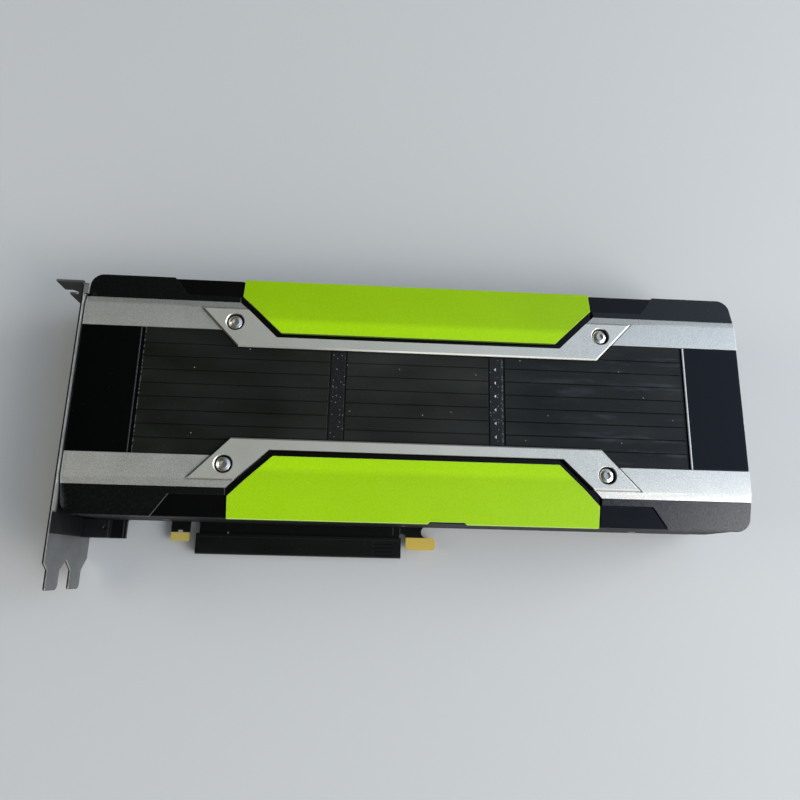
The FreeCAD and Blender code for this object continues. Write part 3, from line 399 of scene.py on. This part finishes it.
def bracket_nickel():
    """Satin nickel on steel sheet: painted shade on its underside and inside beside the anchor,
    painted highlights along its edges.
    """
    bracket_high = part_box("slot_bracket")[1]
    anchor_low, anchor_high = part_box("bracket_anchor")
    cover_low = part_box("cover_body")[0]
    highlight_colour = (0.6, 0.6, 0.592)
    steel = Finish("bracket_nickel", (0.192, 0.192, 0.188), roughness=0.36, metallic=0.85)
    steel.shade(steel.noise(9 * MM, detail=4), 0.86, 1.10)
    # Painted shade on the faces that look towards the board's contacts, the flange's underside
    # among them.
    shaded_underside = steel.remap(steel.facing("Y"), -0.5, -0.9)
    steel.paint(shaded_underside, (0.04, 0.0392, 0.0368))
    # Painted shade on the inner face beside the anchor.
    inner = steel.remap(steel.facing("X"), 0.5, 0.8)
    shade_by_anchor = steel.band(steel.axis("Y"), anchor_low.y, anchor_high.y + 20 * MM,
                           soft=0.1 * MM)
    steel.paint(steel.both(inner, shade_by_anchor), (0.008, 0.0096, 0.0112), strength=0.93)
    steel.wear(steel.noise(4 * MM), 0.36, 0.48)
    steel.emboss(steel.noise(1.1 * MM), depth=0.004 * MM)
    # Painted highlight along the broken edges.
    broken = steel.band(steel.facing("Z"), 0.45, 0.9, soft=0.05)
    steel.paint(broken, highlight_colour, strength=0.6)
    # Painted highlight on the inner face's lip near the top, by the cover.
    rim = steel.remap(steel.axis("Z"), bracket_high.z - 4 * MM, bracket_high.z - 2 * MM)
    by_cover = steel.remap(steel.axis("Y"), cover_low.y, cover_low.y + 1 * MM)
    lit_lip = steel.both(steel.both(rim, inner), by_cover)
    steel.paint(lit_lip, (0.64, 0.624, 0.584), strength=0.8)
    # Painted highlight on the cut edge's bevel below the flange, and a dark line along its
    # outer side.
    below_flange = steel.remap(steel.axis("Y"),
                               bracket_high.y - 1.2 * MM, bracket_high.y - 2.2 * MM)
    cut = steel.both(steel.remap(steel.facing("Z"), 0.3, 0.5), below_flange)
    steel.paint(cut, (0.6, 0.584, 0.544), strength=0.5)
    outer = steel.remap(steel.axis("X"), anchor_low.x - 0.30 * MM, anchor_low.x - 0.42 * MM)
    steel.paint(cut, (0.0096, 0.0088, 0.008), strength=outer)
    return steel.material


def anchor_black():
    """Black coated block beside the bracket."""
    block = Finish("anchor_black", (0.0056, 0.006, 0.0064), roughness=0.36, specular=0.4)
    block.wear(block.noise(2 * MM), 0.28, 0.46)
    block.emboss(block.noise(0.3 * MM, detail=2), depth=0.01 * MM)
    return block.material


def screw_steel():
    """Bright plated screws."""
    steel = Finish("screw_steel", (0.736, 0.704, 0.632), roughness=0.26, metallic=1.0)
    steel.wear(steel.noise(1.2 * MM), 0.20, 0.32)
    return steel.material


# ---------------------------------------------------------------- finishes of the board

# Light marks on the board's face along its lower edge. The middle of each is measured from
# the board's low corner, and all their sizes are in millimetres.
Mark = namedtuple("Mark", "x y length width soft")
PALE_LINES = (
    Mark(126.0, 10.4, 0.35, 3.4, 0.12),
    Mark(129.0, 10.4, 0.35, 3.4, 0.12),
    Mark(13.7, 10.4, 0.4, 3.4, 0.12),
    Mark(13.7, 8.6, 0.4, 7.4, 0.15),
)
PALE_DOT = Mark(56.75, 8.0, 0.7, 0.7, 0.1)
PALE_NICK = Mark(37.1, 8.1, 1.8, 1.2, 0.2)

# Bare laminate, from the board's low corner: the tab's tip runs between two places along x,
# the hook's toe from one place on, and each ends at a height along y.
TAB_TIP_START = 25.0 * MM
TAB_TIP_END = 42.5 * MM
TAB_TIP_TOP = 7.85 * MM
HOOK_TOE_START = 130.0 * MM
HOOK_TOE_TOP = 7.95 * MM


def mark_mask(board, low, mark):
    """Mask over one of the board's marks."""
    return board.patch(low.x + mark.x * MM, low.y + mark.y * MM,
                       mark.length * MM, mark.width * MM, mark.soft * MM)


def tab_tip(board, low):
    """Mask over the bare end of the board's tab."""
    start, end = low.x + TAB_TIP_START, low.x + TAB_TIP_END
    top = low.y + TAB_TIP_TOP
    before = board.remap(board.axis("X"), start, start + 0.2 * MM)
    after = board.remap(board.axis("X"), end, end - 0.1 * MM)
    reach = board.remap(board.axis("Y"), top, top - 0.15 * MM)
    return board.both(board.both(before, after), reach)


def hook_toe(board, low):
    """Mask over the bare toe of the retention hook."""
    start = low.x + HOOK_TOE_START
    top = low.y + HOOK_TOE_TOP
    along = board.remap(board.axis("X"), start, start + 0.2 * MM)
    reach = board.remap(board.axis("Y"), top, top - 0.15 * MM)
    return board.both(along, reach)


def black_board():
    """Black solder mask, with the laminate bare on the tab's tip and the hook's toe."""
    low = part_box("circuit_board")[0]
    board = Finish("black_board", (0.0024, 0.00288, 0.00256), roughness=0.30, specular=0.28)
    board.shade(board.cells(2.4 * MM, stretch=(1, 1, 0)), 0.8, 1.3)
    board.emboss(board.noise(1.2 * MM, detail=2), depth=0.008 * MM)
    lines = mark_mask(board, low, PALE_LINES[0])
    for mark in PALE_LINES[1:]:
        lines = board.either(lines, mark_mask(board, low, mark))
    board.paint(lines, (0.08, 0.088, 0.088), strength=0.6)
    tip = tab_tip(board, low)
    board.paint(board.either(tip, hook_toe(board, low)), (0.672, 0.48, 0.096))
    board.paint(tip, (0.576, 0.448, 0.12))
    board.paint(mark_mask(board, low, PALE_DOT), (0.44, 0.448, 0.432))
    board.paint(mark_mask(board, low, PALE_NICK), (0.416, 0.336, 0.288))
    return board.material


def gold_contact():
    """Hard gold on the edge contacts."""
    gold = Finish("gold_contact", (0.92, 0.66, 0.26), roughness=0.2, metallic=1.0)
    gold.wear(gold.noise(1.5 * MM, stretch=(1, 0.2, 1)), 0.14, 0.32)
    return gold.material


def cap_plastic():
    """Dull black dust cap of the connector."""
    cap = Finish("cap_plastic", (0.00208, 0.00288, 0.00208), roughness=0.42, specular=0.256)
    cap.shade(cap.noise(5 * MM, detail=4, stretch=(0.3, 1, 1)), 0.8, 1.4)
    cap.wear(cap.noise(9 * MM, detail=4, stretch=(0.4, 1.5, 1)), 0.30, 0.48)
    cap.emboss(cap.noise(0.4 * MM, detail=2), depth=0.010 * MM)
    cap.dust(3 * MM, radius=0.05, share=0.15, colour=(0.064, 0.068, 0.064))
    return cap.material


def backplate_black():
    """Powder coated sheet under the board."""
    sheet = Finish("backplate_black", (0.011, 0.011, 0.012), roughness=0.44)
    sheet.shade(sheet.noise(20 * MM), 0.85, 1.2)
    sheet.wear(sheet.noise(8 * MM, detail=4), 0.38, 0.54)
    sheet.emboss(sheet.noise(0.3 * MM), depth=0.016 * MM)
    sheet.dust(6 * MM, radius=0.035, share=0.3, colour=(0.12, 0.12, 0.12))
    return sheet.material


def cast_black():
    """Painted die-cast frame."""
    casting = Finish("cast_black", (0.010, 0.010, 0.0105), roughness=0.5)
    casting.wear(casting.noise(5 * MM, detail=4), 0.42, 0.6)
    casting.emboss(casting.noise(0.6 * MM, detail=4), depth=0.03 * MM)
    return casting.material


# ---------------------------------------------------------------- finishes of the inside

def sink_metal():
    """Machined aluminium plate."""
    plate = Finish("sink_metal", (0.78, 0.78, 0.79), roughness=0.32, metallic=1.0)
    plate.wear(plate.noise(1.2 * MM, stretch=(0.05, 1, 1)), 0.24, 0.42)
    plate.emboss(plate.noise(0.5 * MM, detail=2, stretch=(0.03, 1, 1)), depth=0.006 * MM)
    return plate.material


def fin_metal():
    """Thin bright aluminium fins."""
    fin = Finish("fin_metal", (0.74, 0.74, 0.75), roughness=0.28, metallic=1.0)
    fin.shade(fin.noise(9 * MM), 0.9, 1.05)
    fin.wear(fin.noise(3 * MM, stretch=(0.1, 1, 1)), 0.2, 0.4)
    return fin.material


def package_green():
    """Green laminate of the processor package."""
    laminate = Finish("package_green", (0.018, 0.085, 0.040), roughness=0.35)
    laminate.shade(laminate.noise(1.5 * MM), 0.85, 1.15)
    laminate.emboss(laminate.cells(1.0 * MM), depth=0.01 * MM)
    return laminate.material


def silicon():
    """Mirror-like back of the die."""
    die = Finish("silicon", (0.16, 0.17, 0.19), roughness=0.08, metallic=0.6)
    die.wear(die.noise(3 * MM), 0.05, 0.14)
    return die.material


def chip_black():
    """Epoxy of the memory and power chips."""
    epoxy = Finish("chip_black", (0.012, 0.012, 0.013), roughness=0.5)
    epoxy.emboss(epoxy.noise(0.12 * MM), depth=0.008 * MM)
    epoxy.shade(epoxy.noise(3 * MM, detail=2), 0.85, 1.2)
    return epoxy.material


def pad_grey():
    """Soft grey thermal pads."""
    pad = Finish("pad_grey", (0.30, 0.33, 0.36), roughness=0.7)
    pad.shade(pad.noise(0.4 * MM), 0.88, 1.1)
    pad.emboss(pad.noise(0.5 * MM), depth=0.03 * MM)
    return pad.material


def ceramic_tan():
    """Ceramic body of small capacitors."""
    body = Finish("ceramic_tan", (0.36, 0.22, 0.11), roughness=0.4)
    body.shade(body.noise(0.3 * MM, detail=2), 0.9, 1.1)
    return body.material


def capacitor_can():
    """Drawn aluminium can."""
    can = Finish("capacitor_can", (0.80, 0.80, 0.80), roughness=0.22, metallic=1.0)
    can.wear(can.noise(1.0 * MM, detail=2, stretch=(1, 1, 0.1)), 0.16, 0.34)
    return can.material


def socket_black():
    """Nylon of the power socket."""
    nylon = Finish("socket_black", (0.011, 0.011, 0.012), roughness=0.42)
    nylon.wear(nylon.noise(3 * MM), 0.34, 0.52)
    nylon.emboss(nylon.noise(0.3 * MM, detail=2), depth=0.008 * MM)
    return nylon.material


def pin_tin():
    """Tinned pins."""
    pin = Finish("pin_tin", (0.72, 0.71, 0.68), roughness=0.25, metallic=1.0)
    pin.wear(pin.noise(0.8 * MM, detail=2), 0.18, 0.36)
    return pin.material


SLOT_FINISH = {
    "nickel_steel": bracket_nickel(),
    "screw_steel": screw_steel(),
    "black_board": black_board(),
    "gold_contact": gold_contact(),
    "cap_plastic": cap_plastic(),
    "anchor_black": anchor_black(),
    "backplate_black": backplate_black(),
    "package_green": package_green(),
    "silicon": silicon(),
    "chip_black": chip_black(),
    "pad_grey": pad_grey(),
    "ceramic_tan": ceramic_tan(),
    "capacitor_can": capacitor_can(),
    "socket_black": socket_black(),
    "pin_tin": pin_tin(),
    "cast_black": cast_black(),
    "sink_metal": sink_metal(),
    "fin_metal": fin_metal(),
    "cover_black": cover_black(),
    "panel_black": panel_black(),
    "seam_black": seam_black(),
    "silver_paint": silver_paint(),
    "lime_green": lime_paint(),
    "cap_grey": cap_grain(),
}


# ---------------------------------------------------------------- pieces

# Width of the broken edge on each node whose edges show.
BROKEN_EDGES = {
    "green_panel_upper": 0.35 * MM,
    "green_panel_lower": 0.35 * MM,
    "accent_rail_upper": 0.10 * MM,
    "accent_rail_lower": 0.10 * MM,
    "silver_strip_upper": 0.15 * MM,
    "silver_strip_lower": 0.15 * MM,
    "corner_cap_front_upper": 0.25 * MM,
    "corner_cap_front_lower": 0.25 * MM,
    "corner_cap_rear_upper": 0.25 * MM,
    "corner_cap_rear_lower": 0.25 * MM,
    "end_plate_front": 0.12 * MM,
    "end_plate_rear": 0.25 * MM,
    "centre_panel": 0.06 * MM,
    "seam_strip_front": 0.08 * MM,
    "seam_strip_rear": 0.08 * MM,
    "connector_cap": 0.25 * MM,
    "bracket_anchor": 0.25 * MM,
    "slot_bracket": 0.10 * MM,
    "backplate": 0.15 * MM,
    "power_connector": 0.15 * MM,
    "circuit_board": 0.08 * MM,
}
EDGE_SEGMENTS = 2

# Corners nearer than WELD are one, faces that turn by less than FLAT are one flat, and an
# edge is broken where its faces turn by more than RIDGE.
WELD = 0.001 * MM
FLAT = math.radians(0.6)
RIDGE = math.radians(28)

# Arrow heads in the rear cross strip: their reach along x and y and their height, the middle
# of each from the strip's front edge, from its place in the row and above the strip's top,
# and the tip's width as a share of the foot's.
PIP_COUNT = 6
PIP_PITCH = 5.55 * MM
PIP_SIZE = (0.72 * MM, 1.05 * MM, 0.5 * MM)
PIP_INSET = 2.2 * MM
PIP_SHIFT = -0.8 * MM
PIP_LIFT = 0.2 * MM
PIP_TIP = 0.12


def add_piece(name, shape, slot):
    """Turn a bmesh into a piece that rides on the card, with its slot's finish."""
    mesh = bpy.data.meshes.new(name)
    bmesh.ops.recalc_face_normals(shape, faces=shape.faces)
    shape.to_mesh(mesh)
    shape.free()
    mesh.materials.append(SLOT_FINISH[slot])
    piece = bpy.data.objects.new(name, mesh)
    bpy.context.scene.collection.objects.link(piece)
    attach(piece, BODY)
    return piece


def node_slot(node):
    """Material slot that the record gives a CAD node."""
    return node.material_slots[0].material.name.split(".")[0]


def smooth_off_flats(piece):
    """Round shading over the broken edges, and none on the flats between them."""
    for face in piece.data.polygons:
        face.use_smooth = True
    weighted = piece.modifiers.new("flats", "WEIGHTED_NORMAL")
    weighted.weight = 100
    weighted.keep_sharp = True


def break_edges(node, width):
    """A copy of a CAD node with its sharp edges broken, which stands for the node."""
    source = frame["nodes"][node]
    shape = bmesh.new()
    shape.from_mesh(source.data)
    bmesh.ops.remove_doubles(shape, verts=shape.verts, dist=WELD)
    bmesh.ops.dissolve_limit(shape, angle_limit=FLAT, verts=shape.verts, edges=shape.edges)
    ridges = [edge for edge in shape.edges
              if edge.is_manifold and edge.calc_face_angle(0) > RIDGE]
    bmesh.ops.bevel(shape, geom=ridges, offset=width, offset_type="OFFSET",
                    segments=EDGE_SEGMENTS, profile=0.5, affect="EDGES", clamp_overlap=True,
                    material=-1)
    piece = add_piece(node + "_edged", shape, node_slot(source))
    smooth_off_flats(piece)
    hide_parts(node)


def finish_nodes():
    """Give each CAD node its finish, and break the edges that show."""
    slots = {name: node_slot(node) for name, node in frame["nodes"].items()}
    for name, width in BROKEN_EDGES.items():
        break_edges(name, width)
    for name, node in frame["nodes"].items():
        for slot in node.material_slots:
            slot.material = SLOT_FINISH[slots[name]]


def seam_pips():
    """Small raised arrow heads in the rear cross strip, near the grooves."""
    low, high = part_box("seam_strip_rear")
    middle = (low + high) / 2
    form = Matrix.Diagonal((*PIP_SIZE, 1)) @ Matrix.Rotation(math.pi / 2, 4, "Z")
    shape = bmesh.new()
    for place in range(PIP_COUNT):
        y = middle.y + (place - (PIP_COUNT - 1) / 2) * PIP_PITCH + PIP_SHIFT
        where = Matrix.Translation((low.x + PIP_INSET, y, high.z + PIP_LIFT))
        bmesh.ops.create_cone(shape, cap_ends=True, segments=3, radius1=1, radius2=PIP_TIP,
                              depth=1, matrix=where @ form)
    add_piece("seam_pips", shape, "seam_black")


# ---------------------------------------------------------------- studio

# The floor reaches this far each way, and lies this far under the card.
FLOOR_REACH = 3
FLOOR_DROP = 0.05 * MM

# Each lamp's place and size in metres, its power in watts, and its colour.
Lamp = namedtuple("Lamp", "place size power colour")
LAMPS = {
    "key_window": Lamp((1.12, -0.62, 0.88), (0.8, 0.8), 14.4, (1.0, 0.99, 0.97)),
    "tail_window": Lamp((1.45, 0.30, 0.45), (0.8, 0.6), 16.2, (0.84, 0.93, 1.0)),
    "bracket_fill": Lamp((-1.4, 0.0, 0.70), (1.0, 0.6), 6.9, (1.0, 0.95, 0.84)),
}

# Tones of the room, each at its place between 0 and 1: overhead from the bracket's side to
# the tail's, and round the walls from their dark end to the windows beyond the tail.
CEILING = (
    (0.30, (0.0425, 0.045, 0.041)),
    (0.52, (0.212, 0.225, 0.194)),
    (0.78, (0.65, 0.84, 1.2)),
)
WALLS = (
    (0.22, (0.062, 0.062, 0.062)),
    (0.55, (0.69, 0.725, 0.775)),
    (0.86, (1.69, 1.78, 1.88)),
)

# The way to the windows, and the rise at which the walls begin and that at which they are
# all that is seen.
WINDOW_WAY = (0.80, -0.60, 0.0)
WALL_TOP = 0.62
WALL_FULL = 0.30

# Lens and sensor in millimetres, nearest distance seen, and the camera's place and turn.
LENS = 30.39
SENSOR_WIDTH = 36
NEAREST = 0.01
CAMERA_PLACE = (-13.99 * MM, -53.75 * MM, 296.28 * MM)
CAMERA_TURN = (0.2472, -0.0578, 0.0222)


def floor():
    """Plain pale floor under the card."""
    pale = Finish("pale_floor", (0.56, 0.552, 0.532), roughness=0.7)
    shape = bmesh.new()
    under = Matrix.Translation((0, 0, cad_box[0].z - FLOOR_DROP))
    bmesh.ops.create_grid(shape, x_segments=1, y_segments=1, size=FLOOR_REACH, matrix=under)
    mesh = bpy.data.meshes.new("floor")
    shape.to_mesh(mesh)
    shape.free()
    mesh.materials.append(pale.material)
    ground = bpy.data.objects.new("floor", mesh)
    bpy.context.scene.collection.objects.link(ground)


def softbox(name, lamp):
    """Rectangular lamp that faces the card."""
    light = bpy.data.lights.new(name, "AREA")
    light.shape = "RECTANGLE"
    light.size, light.size_y = lamp.size
    light.energy = lamp.power
    light.color = lamp.colour
    holder = bpy.data.objects.new(name, light)
    holder.location = lamp.place
    holder.rotation_euler = (-Vector(lamp.place)).to_track_quat("-Z", "Y").to_euler()
    bpy.context.scene.collection.objects.link(holder)


def tone_ramp(nodes, value, tones):
    """Colour that runs through the tones as the value goes from -1 to 1."""
    ramp = nodes.add("ShaderNodeValToRGB")
    nodes.feed(ramp.inputs["Fac"], nodes.remap(value, -1, 1))
    stops = ramp.color_ramp.elements
    for stop, (place, _) in zip(stops, (tones[0], tones[-1])):
        stop.position = place
    for place, _ in tones[1:-1]:
        stops.new(place)
    for stop, (_, colour) in zip(stops, tones):
        stop.color = (*colour, 1)
    return ramp.outputs["Color"]


def world():
    """Soft room: dim on the bracket's side, bright and cool beyond the tail."""
    room = bpy.data.worlds.new("room")
    bpy.context.scene.world = room
    room.use_nodes = True
    nodes = Nodes(room.node_tree)
    outward = nodes.add("ShaderNodeTexCoord").outputs["Generated"]
    to_windows = nodes.add("ShaderNodeVectorMath", operation="DOT_PRODUCT")
    nodes.feed(to_windows.inputs[0], outward)
    nodes.feed(to_windows.inputs[1], WINDOW_WAY)
    mix = nodes.add("ShaderNodeMix", data_type="RGBA")
    nodes.feed(mix.inputs["A"], tone_ramp(nodes, nodes.part(outward, "X"), CEILING))
    nodes.feed(mix.inputs["B"], tone_ramp(nodes, to_windows.outputs["Value"], WALLS))
    nodes.feed(mix.inputs["Factor"], nodes.remap(nodes.part(outward, "Z"), WALL_TOP, WALL_FULL))
    background = room.node_tree.nodes["Background"]
    nodes.feed(background.inputs["Color"], mix.outputs["Result"])


def camera():
    """Camera above the card, tipped a little towards its upper edge."""
    lens = bpy.data.cameras.new("camera")
    lens.lens = LENS
    lens.sensor_width = SENSOR_WIDTH
    lens.clip_start = NEAREST
    holder = bpy.data.objects.new("camera", lens)
    holder.location = CAMERA_PLACE
    holder.rotation_euler = Euler(CAMERA_TURN)
    bpy.context.scene.collection.objects.link(holder)
    bpy.context.scene.camera = holder


def studio():
    """Floor, world, lamps and camera."""
    floor()
    world()
    for name, lamp in LAMPS.items():
        softbox(name, lamp)
    camera()
    bpy.context.scene.view_settings.view_transform = "Standard"


finish_nodes()
seam_pips()
studio()
